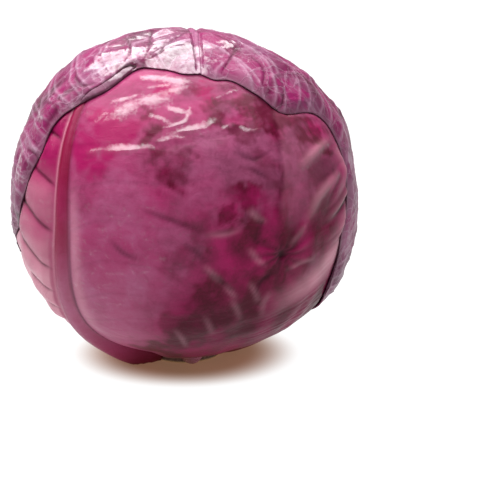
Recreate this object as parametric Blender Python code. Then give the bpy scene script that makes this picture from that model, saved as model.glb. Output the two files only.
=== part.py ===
"""Red cabbage head, trimmed for market: a stalk, the tight inner head, and five wrapper leaves.

The head stands on the cut face of its stalk. Z is up, the front is -Y, and lengths are in metres.
Every surface is a height measured outwards from the centre of the head. A leaf is drawn on a flat
plane laid against its side of the head, and each leaf rides over the edges and ribs of the leaves
that it covers, so that no two leaves touch.
"""

import math

import bmesh
import bpy
import numpy as np

MM = 0.001

# The tight inner head: a globe, a little squarer than an ellipse below, with low lumps
CENTRE_HEIGHT = 80.5 * MM
INNER_RADIUS = 77.5 * MM
INNER_RISE = 74.0 * MM
INNER_DROP = 71.5 * MM
UPPER_ROUNDNESS = 2.12
LOWER_ROUNDNESS = 2.28
LUMP = 0.9 * MM
INNER_SIDES = 40
INNER_RINGS = 21
INNER_LATITUDES = (-68.0, 82.0)

# Edges of the packed leaves on the inner head, as round patches: longitude, latitude, reach
PACKED_PATCHES = ((310.0, 15.0, 82.0), (70.0, 10.0, 78.0), (190.0, 12.0, 80.0))
PACKED_STEP = 0.45 * MM
PACKED_STEP_SPREAD = 8.0

# How thick a leaf is, and how it lies over the leaves below it
BLADE = 0.9 * MM
GAP = 0.8 * MM
LAYER = BLADE + GAP
RISE_OVER_EDGE = 17.0 * MM
EDGE_ROOM = 5.0 * MM
COVER_ROOM = 2.0 * MM
FADE_TO_COVER = 10.0 * MM
FLOOR_ROOM = 0.4 * MM

# Where a leaf's rows meet its rib and its edge, as powers of the row's share of the leaf
RIB_RUN = 1.3
EDGE_RUN = 0.85
RIB_LATITUDES = (-45.0, 0.0, 45.0)
RIB_BEND_SHARE = 0.72
TIP_BULGE = 1.02

# Midrib: half widths and rises are for its tip, its taper and its swollen foot
RIB_HALF_WIDTHS = (1.5 * MM, 5.6 * MM, 3.6 * MM)
RIB_TIP_RISE = 0.4 * MM
RIB_TAPER = 1.25
RIB_SWELL_RUN = 0.17
RIB_WIDEST_SHARE = 0.85
RIB_SHOULDER = 0.72
PRESSED_RIB = 0.35
TENT_ROOM = 3.5 * MM
TENT_FALL = 14.0 * MM

# Relief of an open blade: side veins, crossing crumples (radians a millimetre) and the rim
VEIN_HEIGHT = 1.3 * MM
VEIN_ROWS = 3
VEIN_START, VEIN_RUN_IN = 0.08, 0.2
CRUMPLE_WAVES = ((0.062, 0.050, 0.8), (-0.048, 0.055, 0.0))
CRUMPLE_START, CRUMPLE_RUN_IN = 0.45, 0.35
RIM_SHARE, TIP_SHARE = 0.14, 0.07
RIM_FLARE, RIM_FLUTTER = 0.2 * MM, 0.3 * MM
FLUTTER_ALONG, FLUTTER_ACROSS = 41.0, 3.0
RIM_START, RIM_RUN_IN = 0.25, 0.3
RIM_WAVES = ((0.8 * MM, 31.0, 1.0), (0.7 * MM, 57.0, 2.0))

# Stalk, with the core that it sends up into the inner head
STALK_ANGLE = 12.7
STALK_GAP = 0.35 * MM
STALK_SIDES = 40
STALK_SHOULDER = 4.0 * MM
FIVE_SIDED = 0.012
CORE_FOOT = 8.4 * MM
CORE_FOOT_RADIUS = 15.0 * MM
CORE_TOP = 20.3 * MM
CORE_TOP_RADIUS = 9.0 * MM
CORE_BEVEL = 1.1 * MM
SOCKET_TOP = 21.0 * MM
SOCKET_WALL = 1.03
CUT_BEVEL = 0.8 * MM
SHARP_ANGLE = 50.0

# Colour, roughness
PURPLE_OUTER = ((0.30, 0.055, 0.16, 1.0), 0.38)
PURPLE_FRONT = ((0.33, 0.045, 0.15, 1.0), 0.32)
PURPLE_INNER = ((0.36, 0.07, 0.20, 1.0), 0.35)
STALK_CREAM = ((0.72, 0.66, 0.52, 1.0), 0.60)

# Each leaf, from the innermost to the outermost. Angles are in degrees: longitude 0 is the front,
# 90 is +X, and latitude 90 is the top. An edge starts at the stalk and runs up to the leaf's tip.
# A rib has the longitudes of its foot and of its points at RIB_LATITUDES.
LEAVES = [
    {
        "name": "hidden_front_leaf",
        "middle": (8, 5),
        "rib": (8, 8, 8, 8),
        "low_edge": [(-27, -77), (-42, -60), (-58, -30), (-62, 0), (-60, 30), (-48, 55), (-25, 72)],
        "high_edge": [(43, -77), (58, -60), (72, -30), (74, 0), (72, 30), (60, 55), (38, 72)],
        "tip": (8, 80),
        "rows": 18,
        "columns": 9,
        "rib_rise": (2.4 * MM, 5.0 * MM),
        "crumple": 0.0,
        "colour": PURPLE_INNER,
    },
    {
        "name": "left_leaf",
        "middle": (225, 8),
        "rib": (229, 229, 229, 229),
        "low_edge": [(194, -77), (178, -60), (162, -30), (157, 0), (160, 32), (172, 58), (195, 76)],
        "high_edge": [(264, -77), (282, -60), (298, -30), (302, 0), (298, 30), (288, 55), (265, 74)],
        "tip": (229, 83),
        "rows": 21,
        "columns": 10,
        "rib_rise": (2.6 * MM, 6.0 * MM),
        "crumple": 0.3 * MM,
        "colour": PURPLE_INNER,
    },
    {
        "name": "right_leaf",
        "middle": (98, 8),
        "rib": (92, 92, 92, 92),
        "low_edge": [(57, -77), (46, -58), (38, -30), (34, 5), (38, 28), (48, 52), (70, 74)],
        "high_edge": [(127, -77), (142, -60), (158, -30), (164, 0), (160, 32), (146, 58), (122, 76)],
        "tip": (96, 83),
        "rows": 21,
        "columns": 10,
        "rib_rise": (2.7 * MM, 6.0 * MM),
        "crumple": 0.4 * MM,
        "colour": PURPLE_INNER,
    },
    {
        "name": "front_leaf",
        "middle": (-18, 8),
        "rib": (-57, -53, -43, -50),
        "low_edge": [(-88, -77), (-100, -62), (-112, -38), (-120, -8), (-118, 22), (-108, 48), (-90, 70)],
        "high_edge": [(-12, -77), (16, -66), (44, -52), (68, -34), (85, -10), (91, 14), (85, 38), (60, 62)],
        "tip": (-25, 80),
        "rows": 42,
        "columns": 13,
        "rib_rise": (3.0 * MM, 7.0 * MM),
        "crumple": 0.7 * MM,
        "colour": PURPLE_FRONT,
    },
    {
        "name": "cap_leaf",
        "middle": (186, 22),
        "rib": (179, 179, 179, 179),
        "low_edge": [
            (146, -77), (127, -64), (98, -52), (76, -40), (64, -26), (65, -11),
            (69, 5), (71, 20), (70, 29), (57, 35), (44, 38), (38, 46), (27, 53),
        ],
        "high_edge": [
            (222, -77), (239, -60), (258, -36), (278, -14), (294, -1), (301, 15),
            (305, 29), (308, 38), (318, 45.5), (327, 54), (335, 59.5), (350, 60.5),
        ],
        "tip": (12, 57.5),
        "rows": 30,
        "columns": 13,
        "rib_rise": (3.0 * MM, 7.0 * MM),
        "crumple": 1.5 * MM,
        "colour": PURPLE_OUTER,
    },
]


def smoothstep(x):
    x = np.clip(x, 0.0, 1.0)
    return x * x * (3.0 - 2.0 * x)


def direction(lon, lat):
    """Unit vectors from the centre of the head towards a longitude and latitude in degrees."""
    lon, lat = np.radians(lon), np.radians(lat)
    return np.stack([np.sin(lon) * np.cos(lat), -np.cos(lon) * np.cos(lat), np.sin(lat) + 0 * lon], -1)


def inner_radius(way):
    """Distance from the centre to the inner head's surface along each unit vector."""
    across = np.hypot(way[..., 0], way[..., 1])
    up = np.abs(way[..., 2])
    above = way[..., 2] >= 0
    power = np.where(above, UPPER_ROUNDNESS, LOWER_ROUNDNESS)
    height = np.where(above, INNER_RISE, INNER_DROP)
    globe = ((across / INNER_RADIUS) ** power + (up / height) ** power) ** (-1.0 / power)
    x, y, z = way[..., 0], way[..., 1], way[..., 2]
    lumps = np.sin(3.1 * x + 1.7 * z + 0.6) + np.sin(3.7 * y - 2.3 * z + 2.1) * np.cos(2.2 * x)
    return globe + 0.5 * LUMP * lumps * smoothstep((z + 0.85) / 0.5)


class Plane:
    """A flat map laid against the head at a leaf's middle, true in every direction from there."""

    def __init__(self, middle):
        lon, lat = (math.radians(angle) for angle in middle)
        self.out = direction(*middle)
        self.east = np.array([math.cos(lon), math.sin(lon), 0.0])
        self.north = np.array(
            [-math.sin(lon) * math.sin(lat), math.cos(lon) * math.sin(lat), math.cos(lat)]
        )

    def flat(self, way):
        turn = np.arccos(np.clip(way @ self.out, -1.0, 1.0))
        east, north = way @ self.east, way @ self.north
        reach = np.maximum(np.hypot(east, north), 1e-9)
        return np.stack([turn * east / reach, turn * north / reach], -1) * INNER_RADIUS

    def way(self, flat):
        angle = flat / INNER_RADIUS
        turn = np.maximum(np.hypot(angle[..., 0], angle[..., 1]), 1e-9)[..., None]
        side = angle[..., :1] * self.east + angle[..., 1:] * self.north
        return np.cos(turn) * self.out + np.sin(turn) / turn * side


def smooth_path(keys, shares):
    """Points at shares of the length of a smooth curve through the keys."""
    keys = np.asarray(keys, float)
    ends = np.vstack([2 * keys[0] - keys[1], keys, 2 * keys[-1] - keys[-2]])
    fine = np.linspace(0.0, 1.0, 9)[:-1, None]
    runs = []
    for before, start, end, after in zip(ends, ends[1:], ends[2:], ends[3:]):
        slope_in, slope_out = (end - before) / 2, (after - start) / 2
        bend = 3 * (end - start) - 2 * slope_in - slope_out
        twist = 2 * (start - end) + slope_in + slope_out
        runs.append(start + fine * slope_in + fine**2 * bend + fine**3 * twist)
    curve = np.vstack(runs + [keys[-1:]])
    steps = np.linalg.norm(np.diff(curve, axis=0), axis=1)
    length = np.concatenate([[0.0], np.cumsum(steps)])
    at = np.asarray(shares) * length[-1]
    return np.stack([np.interp(at, length, curve[:, 0]), np.interp(at, length, curve[:, 1])], -1)


def nearest_on(points, path):
    """Distance from each point to a path, and the share of the path where it is nearest."""
    start, edge = path[:-1], np.diff(path, axis=0)
    offset = points[..., None, :] - start
    along = np.clip((offset * edge).sum(-1) / np.maximum((edge**2).sum(-1), 1e-18), 0.0, 1.0)
    away = np.linalg.norm(offset - along[..., None] * edge, axis=-1)
    best = away.argmin(-1)
    share = (best + np.take_along_axis(along, best[..., None], -1)[..., 0]) / len(edge)
    return away.min(-1), share


def depth_inside(points, outline):
    """How far each point lies inside a closed outline, and less than zero outside it."""
    closed = np.vstack([outline, outline[:1]])
    away, _ = nearest_on(points, closed)
    a, b = closed[:-1], closed[1:]
    y = points[..., None, 1]
    rise = np.where(np.abs(b[:, 1] - a[:, 1]) < 1e-12, 1e-12, b[:, 1] - a[:, 1])
    cross_x = a[:, 0] + (y - a[:, 1]) / rise * (b[:, 0] - a[:, 0])
    hits = ((a[:, 1] > y) != (b[:, 1] > y)) & (points[..., None, 0] < cross_x)
    return np.where(hits.sum(-1) % 2 == 1, away, -away)


class Leaf:
    """One wrapper leaf: a grid of rows from the stalk to the tip, and columns out from its rib."""

    def __init__(self, spec):
        self.name = spec["name"]
        self.rise = spec["rib_rise"]
        self.crumple = spec["crumple"]
        self.colour = spec["colour"]
        self.plane = Plane(spec["middle"])
        rows, columns = spec["rows"], spec["columns"]
        self.t = np.linspace(0.0, 1.0, rows + 1)
        tip = self.plane.flat(direction(*spec["tip"]))
        foot_lon, *rib_lons = spec["rib"]
        foot = self.plane.flat(direction(foot_lon, -90.0 + STALK_ANGLE))
        rib_keys = [foot] + [self.plane.flat(direction(*at)) for at in zip(rib_lons, RIB_LATITUDES)]
        rib_keys += [RIB_BEND_SHARE * tip + (1.0 - RIB_BEND_SHARE) * rib_keys[-1], tip]
        self.run = self.t**RIB_RUN
        self.rib = smooth_path(rib_keys, self.run)
        halves = []
        for sign, keys in ((-1, spec["low_edge"]), (1, spec["high_edge"])):
            flat_keys = self.plane.flat(direction(*np.array(keys, float).T))
            edge = smooth_path(flat_keys, self.t**EDGE_RUN)
            base_lon = np.linspace(foot_lon, keys[0][0], 9)
            base_keys = self.plane.flat(direction(base_lon, np.full(9, -90.0 + STALK_ANGLE)))
            edge = self.waved(edge, sign)
            edge[0] = base_keys[-1]
            halves.append(self.half_grid(columns, edge, base_keys, tip, foot))
        low, high = halves
        self.flat = np.concatenate([low["flat"][:, :0:-1], high["flat"]], axis=1)
        self.share = np.concatenate([-low["share"][:, :0:-1], high["share"]], axis=1)
        self.crest = np.concatenate([low["crest"][:, :0:-1], high["crest"]], axis=1)
        self.way = self.plane.way(self.flat)
        top, left, right, base = self.flat[-1], self.flat[:, 0], self.flat[:, -1], self.flat[0]
        self.outline = np.vstack([base, right[1:], top[-2::-1], left[-2:0:-1]])

    def waved(self, edge, sign):
        """Bends an edge in and out, as a leaf's frilled rim does."""
        wave = sum(depth * np.sin(turns * self.t + sign * start) for depth, turns, start in RIM_WAVES)
        away = edge / np.linalg.norm(edge, axis=-1, keepdims=True)
        return edge + away * (wave * smoothstep((self.t - RIM_START) / RIM_RUN_IN))[:, None]

    def half_grid(self, columns, edge, base_keys, tip, foot):
        """One side of the leaf, between its rib, its edge, the stalk and the tip."""
        reach = np.linalg.norm(edge - self.rib, axis=-1)
        feet = np.clip(self.rib_width(self.run) / reach, 0.0, RIB_WIDEST_SHARE)[:, None]
        steps = np.linspace(0.0, 1.0, columns - 1)[None, :]
        share = np.hstack([0.0 * feet, 0.5 * feet, feet + (1.0 - feet) * steps])
        crest = np.zeros_like(share)
        crest[:, 0], crest[:, 1] = 1.0, RIB_SHOULDER
        t = self.t[:, None, None]
        s = share[..., None]
        top_middle = 0.5 * (tip + edge[-1]) * TIP_BULGE
        top_curve = smooth_path([tip, top_middle, edge[-1]], share[-1])
        base = smooth_path(base_keys, share[0])
        base_at = np.stack([np.interp(share, share[0], base[:, k]) for k in (0, 1)], -1)
        top_at = np.stack([np.interp(share, share[-1], top_curve[:, k]) for k in (0, 1)], -1)
        across = (1 - s) * self.rib[:, None] + s * edge[:, None]
        along = (1 - t) * base_at + t * top_at
        corners = (1 - t) * ((1 - s) * foot + s * edge[0]) + t * ((1 - s) * tip + s * edge[-1])
        return {"flat": across + along - corners, "share": share, "crest": crest}

    def rib_width(self, run):
        """Half width of the rib, from the stalk to the tip."""
        tip, taper, swell = RIB_HALF_WIDTHS
        return tip + taper * (1.0 - run) ** RIB_TAPER + swell * np.exp(-((run / RIB_SWELL_RUN) ** 2))

    def rib_rise(self, run):
        """How far the rib stands out of the blade, with its swollen foot at the stalk."""
        taper, swell = self.rise
        foot = swell * np.exp(-((run / RIB_SWELL_RUN) ** 2))
        return RIB_TIP_RISE + taper * (1.0 - run) ** RIB_TAPER + foot

    def depth(self, way):
        return depth_inside(self.plane.flat(way), self.outline)

    def lift(self, way):
        """How far this leaf pushes out whatever lies over it."""
        flat = self.plane.flat(way)
        depth = depth_inside(flat, self.outline)
        sheet = LAYER * smoothstep((depth + RISE_OVER_EDGE) / (RISE_OVER_EDGE - EDGE_ROOM))
        away, row = nearest_on(flat, self.rib)
        run = row**RIB_RUN
        clear = away - self.rib_width(run) - TENT_ROOM
        tent = PRESSED_RIB * self.rib_rise(run) * (1.0 - smoothstep(clear / TENT_FALL))
        return sheet + tent * smoothstep((depth + RISE_OVER_EDGE) / RISE_OVER_EDGE)

    def open_share(self, way, over):
        """1 where the leaf lies open, falling to 0 before the edge of any leaf over it."""
        shown = np.ones(way.shape[:-1])
        for leaf in over:
            shown *= 1.0 - smoothstep((leaf.depth(way) + COVER_ROOM + FADE_TO_COVER) / FADE_TO_COVER)
        return shown

    def relief(self, shown):
        """Side veins, crumples and the lifted rim, which both faces of the thin blade follow."""
        t = np.broadcast_to(self.t[:, None], self.share.shape)
        side = np.abs(self.share)
        on_vein = (np.arange(len(self.t)) % VEIN_ROWS == 0)[:, None]
        vein = VEIN_HEIGHT * on_vein * np.sqrt(1.0 - side) * smoothstep((t - VEIN_START) / VEIN_RUN_IN)
        x, y = self.flat[..., 0] / MM, self.flat[..., 1] / MM
        folds = sum(np.abs(np.sin(east * x + north * y + start)) for east, north, start in CRUMPLE_WAVES)
        crumple = self.crumple * folds * smoothstep((t - CRUMPLE_START) / CRUMPLE_RUN_IN)
        rim = smoothstep(1.0 - (1.0 - side) / RIM_SHARE) + smoothstep(1.0 - (1.0 - t) / TIP_SHARE)
        flutter = RIM_FLARE + RIM_FLUTTER * np.sin(FLUTTER_ALONG * t + FLUTTER_ACROSS * self.share)
        flare = flutter * np.minimum(rim, 1.0) * smoothstep((t - RIM_START) / RIM_RUN_IN)
        return shown * (vein + crumple + flare)

    def surfaces(self, under, over):
        """The leaf's two faces, as points measured from the centre of the head."""
        shown = self.open_share(self.way, over)
        relief = self.relief(shown)
        start = inner_radius(self.way) + GAP + sum(leaf.lift(self.way) for leaf in under)
        pressed = PRESSED_RIB + (1.0 - PRESSED_RIB) * shown
        rib = self.rib_rise(self.run)[:, None] * self.crest * pressed
        inner = self.way * (start + relief)[..., None]
        outer = self.way * (start + relief + BLADE + rib)[..., None]
        lowest = FLOOR_ROOM - CENTRE_HEIGHT
        outer[..., 2] = np.maximum(outer[..., 2], lowest)
        return outer, inner


def material(name, colour):
    made = bpy.data.materials.new(name)
    made.use_nodes = True
    shader = made.node_tree.nodes["Principled BSDF"]
    shader.inputs["Base Color"].default_value = colour[0]
    shader.inputs["Roughness"].default_value = colour[1]
    return made


def add_object(name, points, faces, colour, head):
    """Makes one closed object whose points are measured from the centre of the head."""
    mesh = bpy.data.meshes.new(name)
    mesh.from_pydata([tuple(p) for p in points], [], faces)
    shape = bmesh.new()
    shape.from_mesh(mesh)
    bmesh.ops.recalc_face_normals(shape, faces=shape.faces)
    shape.to_mesh(mesh)
    shape.free()
    mesh.shade_smooth()
    mesh.set_sharp_from_angle(angle=math.radians(SHARP_ANGLE))
    mesh.materials.append(material(name, colour))
    made = bpy.data.objects.new(name, mesh)
    made.parent = head
    bpy.context.scene.collection.objects.link(made)
    return made


def sheet_faces(rows, columns):
    """Triangles of a closed thin sheet: outer face, inner face split alike, and the rim."""
    def at(i, j, inner=False):
        return i * columns + j + inner * rows * columns

    middle = columns // 2
    faces = []
    for i in range(rows - 1):
        for j in range(columns - 1):
            a, b, c, d = (i, j), (i, j + 1), (i + 1, j + 1), (i + 1, j)
            halves = ((a, b, c), (a, c, d)) if j < middle else ((a, b, d), (b, c, d))
            for half in halves:
                faces.append([at(*p) for p in half])
                faces.append([at(*p, inner=True) for p in reversed(half)])
    rim = [(0, j) for j in range(columns)] + [(i, columns - 1) for i in range(1, rows)]
    rim += [(rows - 1, j) for j in range(columns - 2, -1, -1)] + [(i, 0) for i in range(rows - 2, 0, -1)]
    for a, b in zip(rim, rim[1:] + rim[:1]):
        faces.append([at(*a), at(*a, inner=True), at(*b)])
        faces.append([at(*b), at(*a, inner=True), at(*b, inner=True)])
    return faces


def build_leaf(leaf, under, over, head):
    outer, inner = leaf.surfaces(under, over)
    rows, columns = outer.shape[:2]
    points = np.vstack([outer.reshape(-1, 3), inner.reshape(-1, 3)])
    return add_object(leaf.name, points, sheet_faces(rows, columns), leaf.colour, head)


def build_inner_head(head):
    """The packed inner leaves as one dense body, with their edges as steps and a socket below."""
    sides = INNER_SIDES
    socket = [-90.0 + STALK_ANGLE * share for share in (0.35, 0.72)]
    wall = [-90.0 + STALK_ANGLE * SOCKET_WALL]
    lats = socket + wall + list(np.linspace(*INNER_LATITUDES, INNER_RINGS))
    lons = np.arange(sides) * 360.0 / sides
    lat_grid, lon_grid = np.meshgrid(lats, lons, indexing="ij")
    way = direction(lon_grid, lat_grid)
    roof = (CENTRE_HEIGHT - SOCKET_TOP) / np.abs(way[..., 2])
    in_socket = lat_grid < wall[0]
    radius = np.where(in_socket, roof, inner_radius(way) - packed_edges(way))
    rings = (way * radius[..., None]).reshape(-1, 3)
    up = np.array([0.0, 0.0, 1.0])
    top = up * (inner_radius(up) - packed_edges(up))
    bottom = up * (SOCKET_TOP - CENTRE_HEIGHT)
    points = np.vstack([rings, bottom, top])
    faces = []
    for i in range(len(lats) - 1):
        for j in range(sides):
            k = (j + 1) % sides
            a, b, c, d = i * sides + j, i * sides + k, (i + 1) * sides + k, (i + 1) * sides + j
            faces += [[a, b, c], [a, c, d]]
    low, high = len(rings), len(rings) + 1
    last = (len(lats) - 1) * sides
    for j in range(sides):
        k = (j + 1) % sides
        faces += [[k, j, low], [last + j, last + k, high]]
    return add_object("inner_head", points, faces, PURPLE_INNER, head)


def packed_edges(way):
    """How far the inner head steps down outside its packed leaves, which shows their edges."""
    step = np.full(way.shape[:-1], len(PACKED_PATCHES) * PACKED_STEP)
    for lon, lat, reach in PACKED_PATCHES:
        turn = np.degrees(np.arccos(np.clip(way @ direction(lon, lat), -1.0, 1.0)))
        step -= PACKED_STEP * smoothstep((reach - turn) / PACKED_STEP_SPREAD)
    return step


def build_stalk(head):
    """The cut stalk below, nearly round, and its core that reaches up into the inner head."""
    slope = math.tan(math.radians(STALK_ANGLE))

    def side_radius(z):
        return (CENTRE_HEIGHT - z) * slope - STALK_GAP

    profile = [
        (side_radius(0.0) - CUT_BEVEL, 0.0),
        (side_radius(CUT_BEVEL), CUT_BEVEL),
        (side_radius(STALK_SHOULDER), STALK_SHOULDER),
        (CORE_FOOT_RADIUS, CORE_FOOT),
        (0.5 * (CORE_FOOT_RADIUS + CORE_TOP_RADIUS), 0.5 * (CORE_FOOT + CORE_TOP)),
        (CORE_TOP_RADIUS, CORE_TOP - CORE_BEVEL),
        (CORE_TOP_RADIUS - CORE_BEVEL, CORE_TOP),
    ]
    turn = np.arange(STALK_SIDES) * 2 * math.pi / STALK_SIDES
    five_sided = 1.0 - FIVE_SIDED * (1.0 - np.cos(5 * turn))
    points = []
    for radius, z in profile:
        for angle, share in zip(turn, five_sided):
            r = radius * share
            points.append((r * math.sin(angle), -r * math.cos(angle), z - CENTRE_HEIGHT))
    faces = [list(range(STALK_SIDES))[::-1]]
    for i in range(len(profile) - 1):
        for j in range(STALK_SIDES):
            k = (j + 1) % STALK_SIDES
            low, high = i * STALK_SIDES, (i + 1) * STALK_SIDES
            faces.append([low + j, low + k, high + k, high + j])
    last = (len(profile) - 1) * STALK_SIDES
    faces.append([last + j for j in range(STALK_SIDES)])
    return add_object("stalk", points, faces, STALK_CREAM, head)


def centre_over_origin(head, objects):
    """Moves the whole head sideways so that its outline is centred on the Z axis."""
    points = np.array([v.co for made in objects for v in made.data.vertices])
    middle = (points.min(0) + points.max(0)) / 2
    head.location = (-middle[0], -middle[1], CENTRE_HEIGHT)


def main():
    for old in list(bpy.data.objects):
        bpy.data.objects.remove(old)
    head = bpy.data.objects.new("cabbage_head", None)
    bpy.context.scene.collection.objects.link(head)
    leaves = [Leaf(spec) for spec in LEAVES]
    objects = [build_stalk(head), build_inner_head(head)]
    for i, leaf in enumerate(leaves):
        objects.append(build_leaf(leaf, leaves[:i], leaves[i + 1 :], head))
    centre_over_origin(head, objects)


main()
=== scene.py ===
# %% [markdown]
# A red cabbage head is a bud: thick leaves wrapped over each other round a short stalk.
# This lesson dresses a plain CAD head with finely modelled leaves. Every leaf follows the same
# rule as its CAD solid, so it lies in the same place, and only its relief is finer.

import math

import bpy
import numpy as np
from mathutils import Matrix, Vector
from mathutils.kdtree import KDTree


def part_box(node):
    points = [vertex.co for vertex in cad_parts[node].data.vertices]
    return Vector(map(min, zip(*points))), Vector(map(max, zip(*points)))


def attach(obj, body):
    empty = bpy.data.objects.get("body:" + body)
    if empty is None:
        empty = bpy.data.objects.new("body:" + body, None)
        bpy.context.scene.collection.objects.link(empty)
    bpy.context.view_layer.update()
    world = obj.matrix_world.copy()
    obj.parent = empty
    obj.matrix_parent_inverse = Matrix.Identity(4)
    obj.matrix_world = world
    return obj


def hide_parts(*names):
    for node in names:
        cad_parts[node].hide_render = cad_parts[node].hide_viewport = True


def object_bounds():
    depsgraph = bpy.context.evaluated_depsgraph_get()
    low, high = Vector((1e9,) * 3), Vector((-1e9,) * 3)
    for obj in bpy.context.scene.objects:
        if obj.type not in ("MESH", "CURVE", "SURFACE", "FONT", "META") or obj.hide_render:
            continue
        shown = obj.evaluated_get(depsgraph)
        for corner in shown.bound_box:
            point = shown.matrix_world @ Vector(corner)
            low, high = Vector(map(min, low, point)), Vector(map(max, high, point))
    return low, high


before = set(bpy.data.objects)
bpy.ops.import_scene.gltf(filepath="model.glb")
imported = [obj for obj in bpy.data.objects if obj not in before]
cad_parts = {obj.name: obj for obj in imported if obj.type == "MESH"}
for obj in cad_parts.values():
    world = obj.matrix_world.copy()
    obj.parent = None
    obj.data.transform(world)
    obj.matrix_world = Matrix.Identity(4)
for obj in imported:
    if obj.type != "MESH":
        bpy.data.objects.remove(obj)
cad_low, cad_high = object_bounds()
MM = 0.001
print("CAD box in mm:", [round((b - a) / MM, 1) for a, b in zip(cad_low, cad_high)])

# %% [markdown]
# The camera comes first, because the relief below is placed where the photograph shows it.
# The head is 344 pixels wide in a picture of 500, seen from a little above through a long lens.
# A long lens keeps both flanks in sight and doesn't swell the middle of the round head.

# %% Camera
PHOTO_PX = 500
HEAD_WIDTH_PX = 344
HEAD_MIDDLE_PX = (184, 189.5)
LOOK_DOWN = math.radians(16)
FOCAL_MM, SENSOR_MM = 200, 36

pixel = (cad_high.x - cad_low.x) / HEAD_WIDTH_PX
to_right = Vector((1, 0, 0))
to_top = Vector((0, math.sin(LOOK_DOWN), math.cos(LOOK_DOWN)))
to_camera = Vector((0, -math.cos(LOOK_DOWN), math.sin(LOOK_DOWN)))
head_middle = (cad_low + cad_high) / 2
aim = head_middle + to_right * (PHOTO_PX / 2 - HEAD_MIDDLE_PX[0]) * pixel
aim -= to_top * (PHOTO_PX / 2 - HEAD_MIDDLE_PX[1]) * pixel
camera = bpy.data.objects.new("camera", bpy.data.cameras.new("camera"))
bpy.context.scene.collection.objects.link(camera)
camera.data.lens, camera.data.sensor_width = FOCAL_MM, SENSOR_MM
camera.location = aim + to_camera * (PHOTO_PX * pixel * FOCAL_MM / SENSOR_MM)
camera.rotation_euler = to_camera.to_track_quat("Z", "Y").to_euler()
bpy.context.scene.camera = camera
print("camera", round((camera.location - aim).length, 3), "m away, a pixel is", round(pixel / MM, 3), "mm")

# %% [markdown]
# A packed head is almost a ball, a little flatter on top than an ellipse and tapered to the stalk.
# It could be sculpted, but a formula for the distance from the centre in every direction lets
# each leaf be laid over it, and over the leaves below it, without one ever cutting another.

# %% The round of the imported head
CENTRE_HEIGHT = 80.5 * MM
INNER_RADIUS = 77.5 * MM
INNER_RISE = 74.0 * MM
INNER_DROP = 71.5 * MM
UPPER_ROUNDNESS = 2.12
LOWER_ROUNDNESS = 2.28
LUMP = 0.9 * MM
WRAPPING = 5.0 * MM
stalk_low, stalk_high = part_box("stalk")
CENTRE = np.array([*((stalk_low + stalk_high) / 2).to_2d(), CENTRE_HEIGHT])


def smoothstep(x):
    x = np.clip(x, 0.0, 1.0)
    return x * x * (3.0 - 2.0 * x)


def direction(lon, lat):
    """Unit vectors from the centre. Longitude 0 is the front, 90 is +X, and latitude 90 the top."""
    lon, lat = np.radians(lon), np.radians(lat)
    return np.stack([np.sin(lon) * np.cos(lat), -np.cos(lon) * np.cos(lat), np.sin(lat) + 0 * lon], -1)


def inner_radius(way):
    """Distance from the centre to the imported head's surface along each unit vector."""
    across = np.hypot(way[..., 0], way[..., 1])
    up = np.abs(way[..., 2])
    above = way[..., 2] >= 0
    power = np.where(above, UPPER_ROUNDNESS, LOWER_ROUNDNESS)
    height = np.where(above, INNER_RISE, INNER_DROP)
    globe = ((across / INNER_RADIUS) ** power + (up / height) ** power) ** (-1.0 / power)
    x, y, z = way[..., 0], way[..., 1], way[..., 2]
    lumps = np.sin(3.1 * x + 1.7 * z + 0.6) + np.sin(3.7 * y - 2.3 * z + 2.1) * np.cos(2.2 * x)
    return globe + 0.5 * LUMP * lumps * smoothstep((z + 0.85) / 0.5)


def seen_at(x_px, y_px):
    """The direction from the head's centre to the skin that the photograph shows at a pixel."""
    to_pixel = to_right * (x_px - PHOTO_PX / 2) + to_top * (PHOTO_PX / 2 - y_px)
    eye = np.array(camera.location) - CENTRE
    ray = np.array((aim + to_pixel * pixel - camera.location).normalized())
    radius = INNER_RADIUS
    for _ in range(8):
        middle = -(eye @ ray)
        half = math.sqrt(max(0.0, radius**2 - eye @ eye + middle**2))
        way = eye + ray * (middle - half)
        way /= np.linalg.norm(way)
        radius = float(inner_radius(way)) + WRAPPING
    return way


print("axis of the stalk at", (CENTRE[:2] / MM).round(2), "mm")

# %% [markdown]
# A leaf's outline is drawn on a flat map that is laid against the head at the leaf's middle.
# The map is true in every direction from there, so a leaf of 250 mm keeps its shape.
# Three small measures do the rest: a smooth path, the way to a path, and the depth in an outline.

# %% Drawing on the round head
class Plane:
    """A flat map laid against the head at a leaf's middle."""

    def __init__(self, middle):
        lon, lat = (math.radians(angle) for angle in middle)
        self.out = direction(*middle)
        self.east = np.array([math.cos(lon), math.sin(lon), 0.0])
        self.north = np.array([-math.sin(lon) * math.sin(lat), math.cos(lon) * math.sin(lat), math.cos(lat)])

    def flat(self, way):
        turn = np.arccos(np.clip(way @ self.out, -1.0, 1.0))
        east, north = way @ self.east, way @ self.north
        reach = np.maximum(np.hypot(east, north), 1e-9)
        return np.stack([turn * east / reach, turn * north / reach], -1) * INNER_RADIUS

    def way(self, flat):
        angle = flat / INNER_RADIUS
        turn = np.maximum(np.hypot(angle[..., 0], angle[..., 1]), 1e-9)[..., None]
        side = angle[..., :1] * self.east + angle[..., 1:] * self.north
        return np.cos(turn) * self.out + np.sin(turn) / turn * side


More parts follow.
